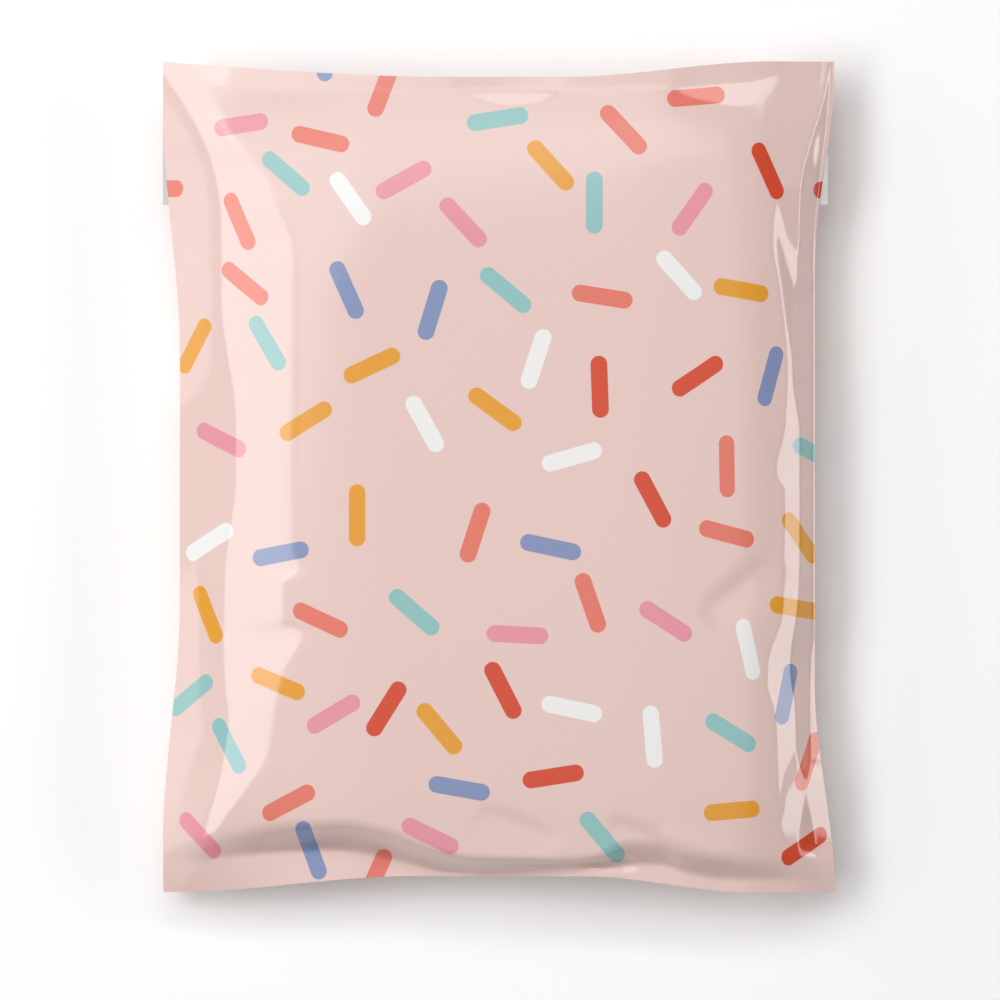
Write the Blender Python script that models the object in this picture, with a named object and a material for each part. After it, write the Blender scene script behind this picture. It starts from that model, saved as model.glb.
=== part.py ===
"""A sealed poly mailer: a 10 x 13 inch courier bag of co-extruded polyethylene film.

One web of film makes the whole bag. It is folded at the bottom, hot-cut and welded down
both sides, filled, and its flap is folded over the mouth and glued to the back. The bag
can't be seen into, so it is one solid with the true outside form. It lies on its back,
printed front up and flap underneath. X runs across the bag, Y runs from the bottom fold
to the top fold, Z is up, and the origin is on the floor under the middle of the bag.
"""

import math

import bmesh
import bpy

# The empty bag, laid flat. Metres throughout.
FLAT_WIDTH = 0.254
FLAT_LENGTH = 0.314
FLAP_SHARE = 0.648
FILM = 0.00008

# What filling does to it: how high it stands, and how far its edges are drawn in.
FILLED_HEIGHT = 0.040
SIDE_PULL = 0.0070
END_PULL = 0.0061

# The welded sides hang clear of the floor. The stiff folds at the two ends stand higher
# mid-way, the top one most as it is three layers of film, and the corners droop.
EDGE_HEIGHT = 0.021
TOP_LIFT = 0.012
BOTTOM_LIFT = 0.006
CORNER_DROP = 0.004

# Shape of the front, from the edge to the crown, and of the back, from the edge to the flat.
CROWN_POWER = 3.0
CROWN_SOFTNESS = 0.8
FLAT_ACROSS = 0.72
FLAT_ALONG = 0.78
BACK_POWER = 1.8

# Mesh fineness: cells across and along, crowded towards the edges where the film turns.
CELLS_ACROSS = 26
CELLS_ALONG = 32
EDGE_CROWDING = 0.35

# The flap sticks out past the drawn-in sides from its free edge up to here.
TAB_TOP_SHARE = 0.9

# The belly meets the floor again this far, as a share of half the length, from the flap's edge.
STEP_SHARE = 0.04

FILM_COLOUR = (0.78, 0.57, 0.53, 1.0)


def smoothstep(low, high, value):
    """0 below low, 1 above high, and a smooth rise between them."""
    share = min(max((value - low) / (high - low), 0.0), 1.0)
    return share * share * (3.0 - 2.0 * share)


def drawn_in(share):
    """How much of the full pull an edge has here: all of it mid-edge, none at a corner."""
    return 1.0 - smoothstep(0.25, 0.95, abs(share))


def crown(share):
    """The front's height between its edge, 0, and the middle of the bag, 1."""
    return (1.0 - abs(share) ** CROWN_POWER) ** CROWN_SOFTNESS


def hug(share, flat):
    """How far the back has come down to the floor: 1 over the flat, 0 at the edge."""
    past = max(abs(share) - flat, 0.0) / (1.0 - flat)
    return 1.0 - past**BACK_POWER


def half_width(v):
    """Half the bag's width as filled, at a share v of its half length."""
    return FLAT_WIDTH / 2 - SIDE_PULL * drawn_in(v)


def edge_height(u, v):
    """Height of the edge over the floor, carried smoothly across the bag."""
    end_lift = (TOP_LIFT if v > 0 else BOTTOM_LIFT) * v**4 * (1.0 - u**4)
    return EDGE_HEIGHT + end_lift - CORNER_DROP * u**4 * v**4


def front_height(u, v):
    edge = edge_height(u, v) + FILM
    return edge + (FILLED_HEIGHT - edge) * crown(u) * crown(v)


def back_height(u, v):
    """The outside of the back panel and, from the flap's free edge upwards, of the flap."""
    lift = 1.0 - hug(u, FLAT_ACROSS) * hug(v, FLAT_ALONG)
    if v >= FLAP_SHARE:
        return (edge_height(u, v) - 2 * FILM) * lift
    step = FILM * smoothstep(FLAP_SHARE - STEP_SHARE, FLAP_SHARE, v)
    return (edge_height(u, v) - FILM) * lift + step * (1.0 - lift)


def place(u, v, height):
    y = v * (FLAT_LENGTH / 2 - END_PULL * drawn_in(u))
    return (u * half_width(v), y, height)


def crowded(step):
    """Moves evenly spaced grid lines from -1 to 1 towards the two edges."""
    return step * (1.0 + EDGE_CROWDING * (1.0 - step * step))


def line_up_flap_edge(rows):
    """Two neighbouring rows take the place of the flap's free edge, a film's step apart."""
    above = min(row for row in rows if row > FLAP_SHARE)
    below = max(row for row in rows if row < above)
    return {above: FLAP_SHARE, below: FLAP_SHARE - FILM / (FLAT_LENGTH / 2)}


def shape_bag(mesh):
    """Turns the flat block into the filled bag. Its top is the front and its bottom the back."""
    moved_rows = line_up_flap_edge({round(crowded(v.co.y), 6) for v in mesh.verts})
    for vertex in mesh.verts:
        u = crowded(vertex.co.x)
        v = moved_rows.get(round(crowded(vertex.co.y), 6), crowded(vertex.co.y))
        if vertex.co.z > 0.5:
            height = front_height(u, v)
        elif vertex.co.z < -0.5:
            height = back_height(u, v)
        else:
            height = edge_height(u, v) - (FILM if v >= FLAP_SHARE else 0.0)
        vertex.co = place(u, v, height)


def side_faces_of_flap_layer(mesh):
    """The lower of the two steps of the flat block's left and right ends."""
    found = []
    for face in mesh.faces:
        middle = face.calc_center_median()
        if abs(middle.x) > 0.99 and middle.z < -0.25:
            found.append(face)
    return found


def pull_out_tabs(mesh, layer):
    """The flap keeps its full width, so its lower corners stand out past the bag's sides."""
    free_edge = FLAP_SHARE * FLAT_LENGTH / 2 - FILM / 4
    tab_top = TAB_TOP_SHARE * FLAT_LENGTH / 2
    ends = [f for f in layer if all(free_edge < v.co.y < tab_top for v in f.verts)]
    made = bmesh.ops.extrude_face_region(mesh, geom=ends)
    for corner in made["geom"]:
        if isinstance(corner, bmesh.types.BMVert):
            corner.co.x = math.copysign(FLAT_WIDTH / 2, corner.co.x)
    bmesh.ops.delete(mesh, geom=ends, context="FACES_ONLY")


def film_material():
    """Glossy printed polyethylene."""
    material = bpy.data.materials.new("printed_film")
    material.use_nodes = True
    surface = material.node_tree.nodes["Principled BSDF"]
    surface.inputs["Base Color"].default_value = FILM_COLOUR
    surface.inputs["Roughness"].default_value = 0.2
    surface.inputs["Metallic"].default_value = 0.0
    return material


def mailer_bag():
    """A flat grid thickened into a block with a two-step rim, then shaped as the filled bag."""
    bpy.ops.mesh.primitive_grid_add(
        x_subdivisions=CELLS_ACROSS, y_subdivisions=CELLS_ALONG, size=2
    )
    bag = bpy.context.object
    bag.name = "mailer_bag"
    mesh = bmesh.new()
    mesh.from_mesh(bag.data)
    bmesh.ops.solidify(mesh, geom=mesh.faces[:], thickness=2.0)
    bmesh.ops.translate(mesh, vec=(0, 0, 1.0 - max(v.co.z for v in mesh.verts)), verts=mesh.verts)
    upright = [e for e in mesh.edges if abs(e.verts[0].co.z - e.verts[1].co.z) > 1.0]
    bmesh.ops.subdivide_edges(mesh, edges=upright, cuts=1)
    bmesh.ops.recalc_face_normals(mesh, faces=mesh.faces)
    flap_layer = side_faces_of_flap_layer(mesh)
    shape_bag(mesh)
    pull_out_tabs(mesh, flap_layer)
    bmesh.ops.triangulate(mesh, faces=mesh.faces[:])
    bmesh.ops.recalc_face_normals(mesh, faces=mesh.faces)
    mesh.to_mesh(bag.data)
    mesh.free()
    bag.data.shade_smooth()
    bag.data.materials.append(film_material())
    return bag


def main():
    for leftover in list(bpy.data.objects):
        bpy.data.objects.remove(leftover)
    collection = bpy.data.collections.new("poly_mailer")
    bpy.context.scene.collection.children.link(collection)
    bag = mailer_bag()
    for home in list(bag.users_collection):
        home.objects.unlink(bag)
    collection.objects.link(bag)


main()
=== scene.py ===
"""A filled poly mailer, flap glued down, lying on its back on a white studio table."""

import math

import bmesh
import bpy
import numpy as np
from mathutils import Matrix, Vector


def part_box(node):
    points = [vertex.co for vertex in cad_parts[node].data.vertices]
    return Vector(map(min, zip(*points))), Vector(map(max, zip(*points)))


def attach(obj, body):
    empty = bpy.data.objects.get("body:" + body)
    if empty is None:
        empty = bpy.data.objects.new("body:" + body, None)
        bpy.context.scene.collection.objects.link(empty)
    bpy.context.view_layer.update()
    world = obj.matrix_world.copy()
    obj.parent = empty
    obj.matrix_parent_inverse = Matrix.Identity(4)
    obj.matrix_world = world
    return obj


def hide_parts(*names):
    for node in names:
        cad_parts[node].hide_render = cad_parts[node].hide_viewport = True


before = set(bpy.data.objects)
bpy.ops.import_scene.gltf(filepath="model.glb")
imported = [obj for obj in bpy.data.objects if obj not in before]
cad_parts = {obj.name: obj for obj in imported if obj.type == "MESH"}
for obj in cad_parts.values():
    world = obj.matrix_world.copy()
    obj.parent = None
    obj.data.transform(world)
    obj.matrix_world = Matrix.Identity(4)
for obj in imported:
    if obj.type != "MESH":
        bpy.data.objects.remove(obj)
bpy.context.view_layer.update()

# ---------------------------------------------------------------------------------------------
# The bag: one web of 80 micron polyethylene film, folded at the bottom, hot-cut and welded down both
# sides, and folded over the mouth. The contents have slid down and to the right, so the film is tight
# and blunt there, and slack and sloping on the left. Lengths here are millimetres.

MM = 0.001
LOW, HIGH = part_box("mailer_bag")
HALF_WIDTH = (HIGH.x - LOW.x) / 2 / MM
HALF_LENGTH = (HIGH.y - LOW.y) / 2 / MM
FILLED_HEIGHT = (HIGH.z - LOW.z) / MM
FILM = 0.08
FLAP_EDGE = 101.8
FLAP_LAYER = 0.3
LEFT_TAB_TOP = 141.0
RIGHT_TAB_TOP = 124.0
RIGHT_TAB = 124.3
CELLS_ACROSS = 204
CELLS_ALONG = 216
SIDE_WELD = 1.3
CORNER_FALL = 34.0
TOP_CORNERS_DROOP = 4.0
LEFT_CORNER_DROOPS = 12.0
RIGHT_CORNER_DROOPS = 3.0
BELLY_ACROSS = 0.72
BELLY_ALONG = 0.78
BELLY_ROUND = 1.8
FLAP_STEP = 6.0


def smoothstep(low, high, value):
    share = np.clip((value - low) / (high - low), 0.0, 1.0)
    return share * share * (3.0 - 2.0 * share)


def through(points, where):
    """A smooth line through a few points, each (place, value)."""
    places, values = np.array(sorted(points), float).T
    rates = np.diff(values) / np.diff(places)
    before, after = np.append(0.0, rates), np.append(rates, 0.0)
    level = before * after <= 0
    slopes = np.where(level, 0.0, 2 * before * after / np.where(level, 1.0, before + after))
    index = np.clip(np.searchsorted(places, where) - 1, 0, len(places) - 2)
    gap = places[index + 1] - places[index]
    t = np.clip((where - places[index]) / gap, 0.0, 1.0)
    rise = values[index + 1] - values[index]
    start, end = slopes[index] * gap, slopes[index + 1] * gap
    bend = t * t * (3 * rise - 2 * start - end) + t**3 * (start + end - 2 * rise)
    return values[index] + t * start + bend


def drawn_in(share, pull, starts, ends):
    """How far filling pulls an edge in: all of it mid-edge, and none at the corners."""
    return pull * (1.0 - smoothstep(starts, ends, np.abs(share)))


def plan_of(u, v):
    """Where a point of the web lies, seen from above. u and v run from -1 to 1."""
    left = HALF_WIDTH - drawn_in(v, 6.4, 0.30, 0.88)
    right = HALF_WIDTH - drawn_in(v, 7.6, 0.50, 1.00)
    top_left = 6.0 * (1.0 - (np.maximum(np.abs(u) - 0.2, 0.0) / 0.8) ** 1.5)
    top = HALF_LENGTH - np.where(u < 0, top_left, drawn_in(u, 6.0, 0.2, 0.82))
    bottom = HALF_LENGTH - np.where(u < 0, drawn_in(u, 6.2, 0.25, 0.98), drawn_in(u, 6.2, 0.25, 0.76))
    return u * np.where(u < 0, left, right), v * np.where(v < 0, bottom, top)


def fallen(distance, bends):
    """How far the film has fallen along lines that run from the middle of the bag to an edge.

    Each bend is (place, softness, slope beyond it in degrees).
    """
    slope, before = np.zeros_like(distance), 0.0
    for place, softness, degrees in bends:
        beyond = np.tan(np.radians(degrees))
        slope = slope + (beyond - before) * smoothstep(place - softness, place + softness, distance)
        before = beyond
    run = np.cumsum((slope[:, 1:] + slope[:, :-1]) / 2 * np.diff(distance, axis=1), axis=1)
    return np.concatenate([np.zeros_like(run[:, :1]), run], axis=1)


def side_fall(x, y, middle):
    """How far the front has fallen towards the side welds. Each bend's line is given as (y, x)."""
    along = y[:, middle:middle + 1]
    glow_starts = through([(157, 118), (148, 115), (135, 108), (125, 101), (112, 88), (100, 83),
                           (86, 77), (60, 77), (0, 77.5), (-26, 77), (-33, 74), (-40, 82.5), (-50, 83),
                           (-57, 73), (-64, 76), (-72, 81), (-84, 83.2), (-100, 85.5), (-114, 95),
                           (-127, 106), (-157, 122)], along)
    glow_middle = through([(157, 125), (125, 107), (112, 97.5), (94, 92), (60, 90), (0, 88), (-26, 89),
                           (-33, 95), (-40, 80), (-50, 79), (-57, 98), (-64, 93), (-72, 87), (-84, 92),
                           (-109, 98), (-127, 108), (-157, 122)], along)
    glow_softness = through([(157, 4), (100, 6), (-20, 6), (-34, 3), (-60, 3), (-157, 4)], along)
    glow_ends = through([(157, 132), (148, 128), (138, 120), (127, 113), (112, 107), (94, 104.5),
                         (64, 104.5), (50, 103), (22, 99), (0, 99), (-22, 101.5), (-32, 103),
                         (-60, 103.5), (-75, 103), (-87, 101.5), (-109, 105), (-127, 110), (-137, 112),
                         (-157, 122)], along)
    gap_ends = through([(157, 140), (125, 118), (105, 111), (86, 110.5), (42, 110), (30, 116),
                        (20, 130), (-31, 130), (-40, 114), (-60, 112), (-90, 112), (-105, 118),
                        (-157, 130)], along)
    left_bends = [
        (56.0, 18.0, 8.0),
        (glow_starts, glow_softness, 15.0),
        (glow_middle, 8.0, 18.5),
        (glow_ends, 1.8, 26.5),
        (gap_ends, 3.0, 31.0),
    ]
    knee = through([(157, 122), (131, 119), (118, 114.6), (108, 113.8), (101, 104.5), (85, 103),
                    (67, 106), (37, 108.6), (16, 107.4), (5, 104.5), (0, 104.5), (-5, 107.6),
                    (-16, 107.6), (-31, 107.2), (-50, 106.6), (-58, 104), (-66, 101.2), (-76, 100.8),
                    (-84, 103.2), (-92, 104.3), (-122, 105.3), (-131, 107), (-138, 112),
                    (-157, 124)], along)
    knee_degrees = through([(157, 14), (125, 22), (112, 26), (104, 33.5), (-128, 33.5), (-136, 26),
                            (-146, 18), (-157, 12)], along)
    tuck_starts = through([(157, 130), (108, 113), (101, 105.3), (97, 106.6), (88, 109), (83, 112),
                           (78, 118), (-157, 120)], along)
    fold_starts = through([(157, 107), (90, 105), (86, 105.2), (76, 106.3), (66, 107.6), (56, 109),
                           (44, 111), (38, 111.6), (-157, 112)], along)
    fold_ends = through([(157, 107), (90, 105), (86, 105.7), (76, 108.6), (70, 110.4), (66, 111.7),
                         (44, 111.6), (38, 111.6), (-157, 112)], along)
    pleat_starts = through([(157, 112), (-98, 112), (-104, 110), (-107, 108.5), (-114, 106.8),
                            (-122, 105.8), (-127, 105.2), (-157, 106)], along)
    pleat_ends = through([(157, 112), (-98, 112), (-104, 112.3), (-107, 112.3), (-114, 108.6),
                          (-122, 107.2), (-127, 105.2), (-157, 106)], along)
    wall = through([(157, 125.2), (140, 123.2), (132, 121), (126, 119), (118, 116.8), (108, 114.4),
                    (83, 113.6), (76, 113.4), (70, 113), (66, 112), (56, 111.6), (37, 111.6),
                    (16, 114.2), (-31, 114.2), (-46, 113.4), (-69, 110.6), (-84, 112.4), (-99, 112.8),
                    (-106, 114.5), (-111, 116), (-117, 115.6), (-124, 114.4), (-131, 113.4),
                    (-157, 113)], along)
    lens_starts = through([(157, 126), (127, 121.4), (121, 119), (114, 118.4), (107, 119.4),
                           (-157, 119.4)], along)
    lens_ends = through([(157, 126), (127, 121.4), (121, 121.3), (114, 120.4), (107, 119.4),
                         (-157, 119.4)], along)
    wall_ends = through([(157, 140), (-50, 140), (-62, 117.5), (-84, 117.0), (-99, 117.3),
                         (-106, 116.6), (-111, 116), (-117, 116.3), (-124, 117.8), (-131, 119.2),
                         (-140, 121), (-157, 124)], along)
    wall_degrees = through([(157, 38), (130, 42), (118, 44), (92, 52), (-100, 52), (-112, 45),
                            (-132, 45), (-140, 28), (-157, 18)], along)
    lip_degrees = through([(157, 10), (95, 24), (75, 33.5), (-128, 33.5), (-136, 26), (-146, 18),
                           (-157, 12)], along)
    edge = np.abs(x[:, -1:])
    right_bends = [
        (60.0, 22.0, 4.5),
        (89.0, 6.0, 9.5),
        (97.5, 5.0, 19.5),
        (knee, 1.0, knee_degrees),
        (pleat_starts, 0.7, 27.0),
        (pleat_ends, 0.7, knee_degrees),
        (fold_starts, 0.6, 44.0),
        (fold_ends, 0.6, knee_degrees),
        (np.minimum(tuck_starts, wall), 1.0, 25.0),
        (wall, 0.8, wall_degrees),
        (lens_starts, 0.5, 33.5),
        (lens_ends, 0.5, wall_degrees),
        (np.minimum(wall_ends, edge - SIDE_WELD), 0.6, lip_degrees),
    ]
    right, left = slice(middle, None), slice(middle, None, -1)
    fall = np.empty_like(x)
    fall[:, right] = fallen(np.abs(x[:, right]), right_bends)
    fall[:, left] = fallen(np.abs(x[:, left]), left_bends)
    return fall


def end_fall(x, y, middle):
    """How far the front has fallen towards the two folds. Each bend's line is given as (x, y)."""
    across = x[middle:middle + 1, :].T
    hem_starts = through([(-127, 160), (-110, 152), (-95, 147), (-60, 146), (-30, 145.5), (0, 146),
                          (30, 146.2), (50, 147), (64, 147.5), (80, 149), (91, 150), (98, 152),
                          (104, 158), (127, 168)], across)
    gleam_starts = through([(-127, 160), (-24, 160), (-16, 145.5), (-8, 142.5), (3, 139.5), (14, 140.5),
                            (22, 145), (28, 160), (56, 160), (64, 145.5), (76, 141.4), (86, 140),
                            (94, 142.5), (100, 146), (108, 150), (114, 153), (127, 159)], across)
    gleam_degrees = through([(-127, 18.5), (30, 18.5), (64, 18.5), (80, 17.5), (88, 16.5), (94, 14.5),
                             (100, 11), (108, 11), (114, 9), (127, 8)], across)
    top_bends = [
        (92.0, 26.0, 4.0),
        (122.0, 10.0, 8.0),
        (134.0, 6.0, 11.5),
        (np.minimum(gleam_starts, hem_starts), 1.3, gleam_degrees),
        (hem_starts, 1.3, 3.0),
    ]
    step_starts = through([(-127, 142), (-112, 139), (-95, 135), (-75, 132), (-57, 131.5), (-42, 134),
                           (-30, 138.5), (-18, 143), (-5, 145), (25, 145.5), (38, 142.5), (46, 138),
                           (58, 138.5), (66, 142), (80, 144), (100, 146), (115, 149),
                           (127, 152)], across)
    step_ends = through([(-127, 147), (-112, 145.5), (-95, 143), (-75, 141), (-57, 140.5), (-42, 142.8),
                         (-30, 146), (-18, 148.6), (-5, 149.4), (25, 149.3), (38, 148.5), (46, 146),
                         (58, 146), (66, 149), (80, 151.5), (100, 152), (115, 153), (127, 155)], across)
    step_degrees = through([(-127, 6), (-112, 24), (-95, 40), (-75, 52), (-57, 56), (-42, 57),
                            (-30, 60), (-18, 67), (-5, 70), (8, 69), (25, 60), (45, 44), (60, 44),
                            (75, 42), (95, 38), (110, 22), (127, 8)], across)
    step_softness = through([(-127, 6), (-95, 4), (-57, 4), (-35, 3), (-18, 1.5), (25, 1.6), (45, 2.5),
                             (127, 3.5)], across)
    shelf_degrees = through([(-127, 10), (-95, 3), (-60, -3), (-38, 2), (-20, -3), (10, -3), (40, 2),
                             (70, 4), (127, 8)], across)
    bottom_bends = [
        (66.0, 36.0, 2.5),
        (120.0, 12.0, 6.5),
        (step_starts, step_softness, step_degrees),
        (step_ends, 1.2, shelf_degrees),
    ]
    top, bottom = slice(middle, None), slice(middle, None, -1)
    fall = np.empty_like(x)
    fall[top, :] = fallen(np.abs(y[top, :]).T, top_bends).T
    fall[bottom, :] = fallen(np.abs(y[bottom, :]).T, bottom_bends).T
    return fall


def stroke(x, y, path, height, left_width, right_width):
    """A fold pressed along a path: a ridge, or with a negative height a valley, tapering to its ends."""
    points = np.array(path, float)
    run = np.concatenate([[0.0], np.cumsum(np.hypot(*np.diff(points, axis=0).T))])
    steps = np.linspace(0.0, run[-1], 25)
    line = np.stack([through(list(zip(run, points[:, axis])), steps) for axis in (0, 1)], axis=1)
    nearest = np.full(x.shape, 1e9)
    side = np.ones(x.shape)
    where = np.zeros(x.shape)
    for index in range(len(line) - 1):
        start, leg = line[index], line[index + 1] - line[index]
        t = np.clip(((x - start[0]) * leg[0] + (y - start[1]) * leg[1]) / (leg @ leg), 0.0, 1.0)
        dx, dy = x - start[0] - t * leg[0], y - start[1] - t * leg[1]
        away = np.hypot(dx, dy)
        closer = away < nearest
        nearest = np.where(closer, away, nearest)
        side = np.where(closer, np.sign(leg[0] * dy - leg[1] * dx), side)
        where = np.where(closer, (index + t) / (len(line) - 1), where)
    reach = np.where(side > 0, left_width, right_width)
    taper = np.sin(math.pi * np.clip(where, 0.0, 1.0)) ** 0.8
    return height * taper * np.exp(-((nearest / reach) ** 2))


# Folds in the front: a path, a height, and the widths to its left and right, looking along it.
FRONT_FOLDS = [
    # Left flank: slack film hangs in long upright ripples beside the weld.
    ([(-113, -30), (-115, -60), (-114, -95)], 0.18, 2.6, 2.6),
    # Right shoulder: a soft crease runs down from the knee into the flat.
    ([(103, -30), (96, -37), (86, -45), (77, -53)], -1.5, 9.0, 4.5),
    # Bottom: small creases fan out of the fold.
    ([(-8, -126), (6, -131), (22, -139)], -0.9, 4.0, 6.0),
    ([(-26, -143.5), (-12, -147), (12, -147.6), (52, -147)], -2.6, 2.4, 1.6),
    ([(42, -130), (54, -135), (64, -141)], -0.9, 3.5, 6.0),
    ([(63, -133), (74, -139), (86, -145)], 0.7, 4.0, 4.0),
]

# The grid is finer towards the welds and folds, where the film turns.
columns = np.interp(np.linspace(-1.0, 1.0, CELLS_ACROSS + 1), [-1, -0.4, 0.4, 1], [-1, -0.7, 0.7, 1])
rows = np.interp(np.linspace(-1.0, 1.0, CELLS_ALONG + 1), [-1, -0.6, 0.7, 1], [-1, -0.76, 0.82, 1])
u, v = np.meshgrid(columns, rows)
plan_x, plan_y = plan_of(u, v)
across_fall = side_fall(plan_x, plan_y, CELLS_ACROSS // 2)
along_fall = end_fall(plan_x, plan_y, CELLS_ALONG // 2)
front = FILLED_HEIGHT - across_fall - along_fall + across_fall * along_fall / CORNER_FALL
corner_droop = np.where(v > 0, TOP_CORNERS_DROOP, np.where(u < 0, LEFT_CORNER_DROOPS, RIGHT_CORNER_DROOPS))
front -= corner_droop * np.abs(u) ** 3.5 * np.abs(v) ** 7

# The height of the rim, where front and back meet, carried smoothly across the bag.
right_share, top_share = (u + 1) / 2, (v + 1) / 2
rim = front[:, :1] * (1 - right_share) + front[:, -1:] * right_share
rim += front[:1, :] * (1 - top_share) + front[-1:, :] * top_share
rim -= (front[0, 0] * (1 - right_share) + front[0, -1] * right_share) * (1 - top_share)
rim -= (front[-1, 0] * (1 - right_share) + front[-1, -1] * right_share) * top_share
front += FILM
edge_gap = np.minimum((1 - np.abs(u)) * HALF_WIDTH, (1 - np.abs(v)) * HALF_LENGTH)
for path, height, left_width, right_width in FRONT_FOLDS:
    fold = stroke(plan_x, plan_y, path, height, left_width, right_width)
    front += fold * smoothstep(0.5, 4.0, edge_gap)


def hug(share, belly):
    """How far the back has come down to the table: 1 over the belly, 0 at the edge."""
    return 1.0 - np.clip((np.abs(share) - belly) / (1.0 - belly), 0.0, 1.0) ** BELLY_ROUND


# The back comes down to the table under the contents. The flap is a second layer on it.
flat = hug(u, BELLY_ACROSS) * hug(v, BELLY_ALONG)
on_flap = plan_y > FLAP_EDGE
back = (rim - FILM - np.where(on_flap, FLAP_LAYER, 0.0)) * (1.0 - flat)
back += np.where(on_flap, 0.0, FLAP_LAYER * smoothstep(FLAP_EDGE - FLAP_STEP, FLAP_EDGE, plan_y)) * flat
weld = rim - np.where(on_flap, FILM, 0.0)

bag_mesh = bmesh.new()
bmesh.ops.create_grid(bag_mesh, x_segments=CELLS_ACROSS, y_segments=CELLS_ALONG, size=1)
bmesh.ops.solidify(bag_mesh, geom=bag_mesh.faces[:], thickness=2.0)
bmesh.ops.translate(bag_mesh, vec=(0, 0, 1.0 - max(v.co.z for v in bag_mesh.verts)), verts=bag_mesh.verts)
upright = [e for e in bag_mesh.edges if abs(e.verts[0].co.z - e.verts[1].co.z) > 1.0]
bmesh.ops.subdivide_edges(bag_mesh, edges=upright, cuts=1)
bmesh.ops.recalc_face_normals(bag_mesh, faces=bag_mesh.faces)
middles = {face: face.calc_center_median() for face in bag_mesh.faces}
flap_layer = [face for face, middle in middles.items() if abs(middle.x) > 0.99 and middle.z < -0.25]
for vertex in bag_mesh.verts:
    column = round((vertex.co.x + 1) / 2 * CELLS_ACROSS)
    row = round((vertex.co.y + 1) / 2 * CELLS_ALONG)
    layer = front if vertex.co.z > 0.5 else back if vertex.co.z < -0.5 else weld
    vertex.co = (plan_x[row, column] * MM, plan_y[row, column] * MM, layer[row, column] * MM)

# The flap keeps its full width where the sides are drawn in, so its grey inside shows past them.
flap_ends = [
    f for f in flap_layer
    if all(FLAP_EDGE < v.co.y / MM < (RIGHT_TAB_TOP if v.co.x > 0 else LEFT_TAB_TOP) for v in f.verts)
]
tabs = bmesh.ops.extrude_face_region(bag_mesh, geom=flap_ends)
tab_corners = {g for g in tabs["geom"] if isinstance(g, bmesh.types.BMVert)}
for corner in tab_corners:
    corner.co.x = (RIGHT_TAB if corner.co.x > 0 else -HALF_WIDTH) * MM
bmesh.ops.delete(bag_mesh, geom=flap_ends, context="FACES_ONLY")
bmesh.ops.recalc_face_normals(bag_mesh, faces=bag_mesh.faces)
for face in bag_mesh.faces:
    face.material_index = int(face.normal.z > 0.9 and any(v in tab_corners for v in face.verts))
for edge in bag_mesh.edges:
    edge.smooth = edge.calc_face_angle(0.0) < math.radians(50)

bag_data = bpy.data.meshes.new("mailer_film")
bag_mesh.to_mesh(bag_data)
bag_mesh.free()
bag = bpy.data.objects.new("mailer_film", bag_data)
bpy.context.scene.collection.objects.link(bag)
bag_data.shade_smooth()

# ---------------------------------------------------------------------------------------------
# The print. Round-ended dashes in seven flat inks are scattered over a pale pink ground. The
# web is printed on a cylinder before it is folded, so the layout comes round again on the flap
# and the back.

REPEAT = 330.0
DASH_HALF = 8.5
DASH_RADIUS = 3.2
PINK_GROUND = "E1C4BD"
INKS = {
    "red": "D04C32", "coral": "DF7868", "orange": "E09B34", "pink": "E1929F",
    "teal": "8EBDBB", "blue": "8290B6", "white": "EAE9E7",
}
# Each dash: its middle across and along the bag as it lies, and its turn in degrees.
DASHES = {
    "red": [(101.5, 115.5, -66), (128, 109, 5), (38, 34, -88), (75, 38, 34), (58, -8.5, -62),
            (-42.5, -87.5, 58), (1.5, -80.5, -63), (20.5, -113, 9), (115.5, -139.5, 34)],
    "coral": [(-43.5, 147, 69), (-67.5, 127.5, -13), (47, 131, -47), (74.5, 143.5, 5), (-128.5, 109, 0),
              (-98, 96.5, -67), (-96, 73, -40), (39, 68, -9), (86, 4, -89), (-9, -21, 72),
              (86, -21.5, -15), (-67.5, -54, -25), (34.5, -47.5, -71), (117, -107.5, 72),
              (-79.5, -123, 28), (-47, -151.5, 66)],
    "orange": [(19.5, 117.5, -48), (91.5, 70.5, -10), (-115, 49.5, 63), (-48, 42, 25), (-73, 21, 32),
               (-1.5, 25.5, -36), (-53.5, -14.5, 90), (114, -23, -56), (-110, -52, -69), (112, -49.5, -10),
               (-83.5, -78, -23), (-22.5, -95, -50), (88, -126, 5)],
    "pink": [(-97.5, 133, 9), (-36, 112, 29), (-13.5, 96, -47), (73, 101, 55), (-105, 14, -27),
             (7, -59.5, -3), (63, -54.5, -33), (-62.5, -89.5, 31), (-113, -135.5, -47), (-26, -135.5, -26)],
    "teal": [(-80.5, 114.5, -41), (-0.5, 135, 9), (36, 103.5, 90), (2.5, 70.5, -40), (-87.5, 50.5, -60),
             (120, 8.5, -28), (-32, -51, -41), (-116.5, -82.5, 40), (87.5, -96.5, -32), (-102, -101.5, -63),
             (39, -136, -50)],
    "blue": [(-66.5, 161, 95), (-57.5, 70.5, -66), (-25, 63, 73), (102.5, 38, 75), (-82.5, -29, 11),
             (19.5, -26.5, -12), (108.5, -82, 79), (-71, -141, -70), (-15, -117.5, -10)],
    "white": [(-56, 105, -55), (68, 76, -48), (14, 44.5, 72), (-28, 20, -61), (27.5, 7.5, 16),
              (-109.5, -24.5, 33), (94, -65, -78), (27.5, -87.5, -12), (58, -98, -85)],
}


def linear(hex_colour):
    """A colour given as sRGB hex, in the linear light that the shader works in."""
    parts = [int(hex_colour[i:i + 2], 16) / 255 for i in (0, 2, 4)]
    return [p / 12.92 if p <= 0.04045 else ((p + 0.055) / 1.055) ** 2.4 for p in parts] + [1.0]


def across_web(x):
    """Place across the flat web. It is wider than the bag looks, as the film slopes to the sides."""
    return x + 5.0 * np.sign(x) * (np.abs(x) / 105) ** 3.7


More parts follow.
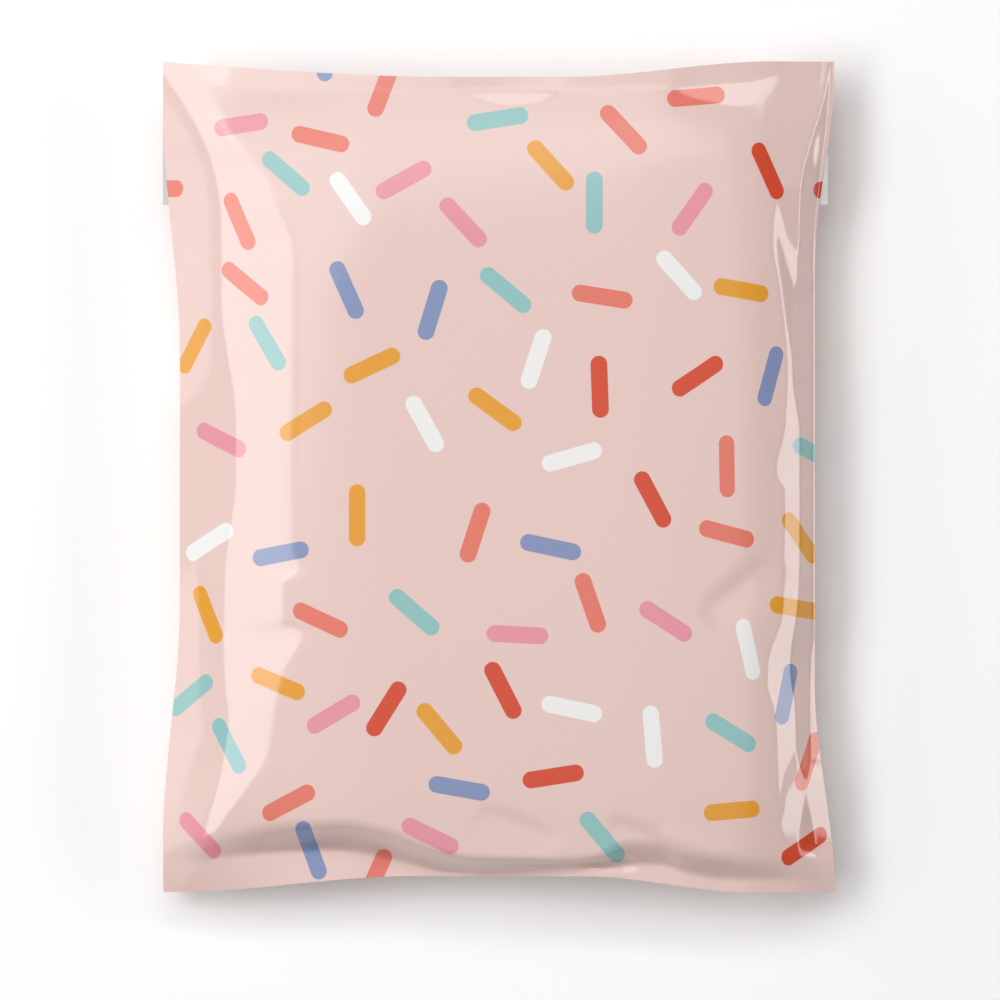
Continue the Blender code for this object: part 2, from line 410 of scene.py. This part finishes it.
def web_of(points, is_front):
    """Place on the flat web of points given in millimetres: the front, then the back and flap."""
    fold = HALF_LENGTH - 6.0
    x, y = points[:, 0], points[:, 1]
    behind = np.where(y > FLAP_EDGE, 2 * fold - y, -2 * fold - y)
    return np.stack([across_web(x), np.where(is_front, y, behind)], axis=1)


def print_web(mesh_data):
    """Gives each face the nearest dash: its ink, and each corner's place along and across it."""
    corner_count = len(mesh_data.loops)
    face_count = len(mesh_data.polygons)
    points = np.empty(len(mesh_data.vertices) * 3)
    mesh_data.vertices.foreach_get("co", points)
    points = points.reshape(-1, 3) / MM
    corner_vertex = np.empty(corner_count, int)
    mesh_data.loops.foreach_get("vertex_index", corner_vertex)
    starts = np.empty(face_count, int)
    mesh_data.polygons.foreach_get("loop_start", starts)
    totals = np.empty(face_count, int)
    mesh_data.polygons.foreach_get("loop_total", totals)
    normals = np.empty(face_count * 3)
    mesh_data.polygons.foreach_get("normal", normals)
    up = normals.reshape(-1, 3)[:, 2] > 0
    face_of_corner = np.repeat(np.arange(face_count), totals)
    corners = points[corner_vertex]
    web = web_of(corners, up[face_of_corner])
    middles = np.add.reduceat(web, starts, axis=0) / totals[:, None]
    nearest = np.full(face_count, 1e9)
    frame_of_face = np.zeros((face_count, 4))
    ink_of_face = np.zeros((face_count, 4))
    for ink, hex_colour in INKS.items():
        for x, y, degrees in DASHES[ink]:
            for turn in (-1, 0, 1):
                middle = np.array([across_web(x), y + turn * REPEAT])
                stretch = across_web(x + 0.5) - across_web(x - 0.5)
                turned = math.radians(degrees)
                along = np.array([math.cos(turned) * stretch, math.sin(turned)])
                along /= np.hypot(*along)
                away = middles - middle
                on_line = np.clip(away @ along, -DASH_HALF, DASH_HALF)
                gap = np.hypot(*(away - on_line[:, None] * along).T)
                closer = gap < nearest
                nearest[closer] = gap[closer]
                frame_of_face[closer] = (*middle, *along)
                ink_of_face[closer] = linear(hex_colour)
    held = frame_of_face[face_of_corner]
    away = web - held[:, :2]
    place = np.zeros((corner_count, 3))
    place[:, 0] = away[:, 0] * held[:, 2] + away[:, 1] * held[:, 3]
    place[:, 1] = away[:, 1] * held[:, 2] - away[:, 0] * held[:, 3]
    dash_place = mesh_data.attributes.new("dash_place", "FLOAT_VECTOR", "CORNER")
    dash_place.data.foreach_set("vector", place.ravel())
    dash_ink = mesh_data.attributes.new("dash_ink", "FLOAT_COLOR", "CORNER")
    dash_ink.data.foreach_set("color", ink_of_face[face_of_corner].ravel())


print_web(bag_data)

# ---------------------------------------------------------------------------------------------
# Co-extruded LDPE film: blown film with a clear gloss skin over a pigmented white core. The eye
# gets clean, bright reflections of the lamps that break along every ripple, over flat ink.


def add(tree, kind, settings=None, links=None):
    """Adds a node. Settings name its properties; links name its inputs' values or sources."""
    node = tree.nodes.new(kind)
    for name, value in (settings or {}).items():
        setattr(node, name, value)
    for name, value in (links or {}).items():
        if isinstance(value, bpy.types.NodeSocket):
            tree.links.new(value, node.inputs[name])
        else:
            node.inputs[name].default_value = value
    return node


film = bpy.data.materials.new("printed_ldpe_film")
film.use_nodes = True
tree = film.node_tree
surface = tree.nodes["Principled BSDF"]
place = add(tree, "ShaderNodeAttribute", {"attribute_name": "dash_place"})
ink = add(tree, "ShaderNodeAttribute", {"attribute_name": "dash_ink"})
split = add(tree, "ShaderNodeSeparateXYZ", links={"Vector": place.outputs["Vector"]})
along = add(tree, "ShaderNodeMath", {"operation": "ABSOLUTE"}, {0: split.outputs["X"]})
past = add(tree, "ShaderNodeMath", {"operation": "SUBTRACT"}, {0: along.outputs[0], 1: DASH_HALF})
beyond = add(tree, "ShaderNodeMath", {"operation": "MAXIMUM"}, {0: past.outputs[0], 1: 0.0})
offset = add(tree, "ShaderNodeCombineXYZ", links={"X": beyond.outputs[0], "Y": split.outputs["Y"]})
reach = add(tree, "ShaderNodeVectorMath", {"operation": "LENGTH"}, {0: offset.outputs[0]})
mask = add(tree, "ShaderNodeMapRange", {"interpolation_type": "SMOOTHSTEP"}, {
    "Value": reach.outputs["Value"], "From Min": DASH_RADIUS - 0.12, "From Max": DASH_RADIUS + 0.12,
    "To Min": 1.0, "To Max": 0.0})
colour = add(tree, "ShaderNodeMix", {"data_type": "RGBA"}, {
    "Factor": mask.outputs["Result"], 6: linear(PINK_GROUND), 7: ink.outputs["Color"]})
tree.links.new(colour.outputs[2], surface.inputs["Base Color"])
surface.inputs["Roughness"].default_value = 0.13
surface.inputs["IOR"].default_value = 1.51
bag_data.materials.append(film)

# The inside of the film is the same polyethylene, pigmented grey so the bag can't be seen through.
# It has no gloss skin, so it looks flat and slightly waxy.
inside = bpy.data.materials.new("grey_ldpe_film")
inside.use_nodes = True
inside_surface = inside.node_tree.nodes["Principled BSDF"]
inside_surface.inputs["Base Color"].default_value = linear("C9CCC9")
inside_surface.inputs["Roughness"].default_value = 0.35
inside_surface.inputs["IOR"].default_value = 1.51
bag_data.materials.append(inside)

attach(bag, "root")
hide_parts("mailer_bag")

# ---------------------------------------------------------------------------------------------
# The table: a sheet of matt white card, wide enough that its edge is never seen.

TABLE_HALF = 6.0
TABLE_GAP = 0.00005
table_mesh = bmesh.new()
bmesh.ops.create_grid(table_mesh, x_segments=1, y_segments=1, size=TABLE_HALF)
bmesh.ops.translate(table_mesh, vec=(0, 0, -TABLE_GAP), verts=table_mesh.verts)
table_data = bpy.data.meshes.new("table")
table_mesh.to_mesh(table_data)
table_mesh.free()
table = bpy.data.objects.new("table", table_data)
bpy.context.scene.collection.objects.link(table)
card = bpy.data.materials.new("matt_white_card")
card.use_nodes = True
card_surface = card.node_tree.nodes["Principled BSDF"]
card_surface.inputs["Base Color"].default_value = linear("FAFAFA")
card_surface.inputs["Roughness"].default_value = 0.9
table_data.materials.append(card)

# ---------------------------------------------------------------------------------------------
# Lamps. A long softbox stands on the left, with a dimmer screen below it, and two soft lamps hang
# overhead and over the top. Narrow strips stand beyond the top and low on the right. Every gleam on
# the film is one of them.


def softbox(name, from_vertical, heading, spread, length, brightness, distance=2.7):
    """A rectangular lamp facing the bag. Spread and length are the angles it fills, in degrees,
    away from the vertical and along the horizon. Brightness is its radiance, with white card near 1."""
    data = bpy.data.lights.new(name, "AREA")
    data.shape = "RECTANGLE"
    data.size = 2 * distance * math.tan(math.radians(spread / 2))
    data.size_y = 2 * distance * math.tan(math.radians(length / 2))
    data.energy = brightness * math.pi * data.size * data.size_y
    light = bpy.data.objects.new(name, data)
    tilt, turn = math.radians(from_vertical), math.radians(heading)
    light.location = (
        distance * math.sin(tilt) * math.cos(turn),
        distance * math.sin(tilt) * math.sin(turn),
        distance * math.cos(tilt),
    )
    light.rotation_euler = (0, tilt, turn)
    bpy.context.scene.collection.objects.link(light)


softbox("softbox_above", 4, 200, 44, 44, 0.7)
softbox("softbox_left", 37, 168, 22, 62, 4.4)
softbox("screen_left", 66, 172, 20, 60, 1.8)
softbox("softbox_top", 20, 118, 22, 36, 2.0)
softbox("strip_top", 40, 74, 9, 48, 4.2)
softbox("strip_right", 67, -2, 10, 48, 5.3)
world = bpy.data.worlds.new("studio")
world.use_nodes = True
background = world.node_tree.nodes["Background"]
background.inputs["Color"].default_value = (1.0, 1.0, 1.0, 1.0)
background.inputs["Strength"].default_value = 0.06
bpy.context.scene.world = world
bpy.context.scene.view_settings.view_transform = "Standard"

# ---------------------------------------------------------------------------------------------
# Camera: straight above, on a long lens, so the bag's outline shows true.

CAMERA_HEIGHT = 9.0
CAMERA_PLACE = (0.0004, -0.0087)
VIEW_WIDTH = 0.378
BAG_MID_HEIGHT = 0.02
camera_data = bpy.data.cameras.new("camera")
camera_data.sensor_width = 36.0
camera_data.lens = 36.0 * (CAMERA_HEIGHT - BAG_MID_HEIGHT) / VIEW_WIDTH
camera = bpy.data.objects.new("camera", camera_data)
camera.location = (*CAMERA_PLACE, CAMERA_HEIGHT)
bpy.context.scene.collection.objects.link(camera)
bpy.context.scene.camera = camera
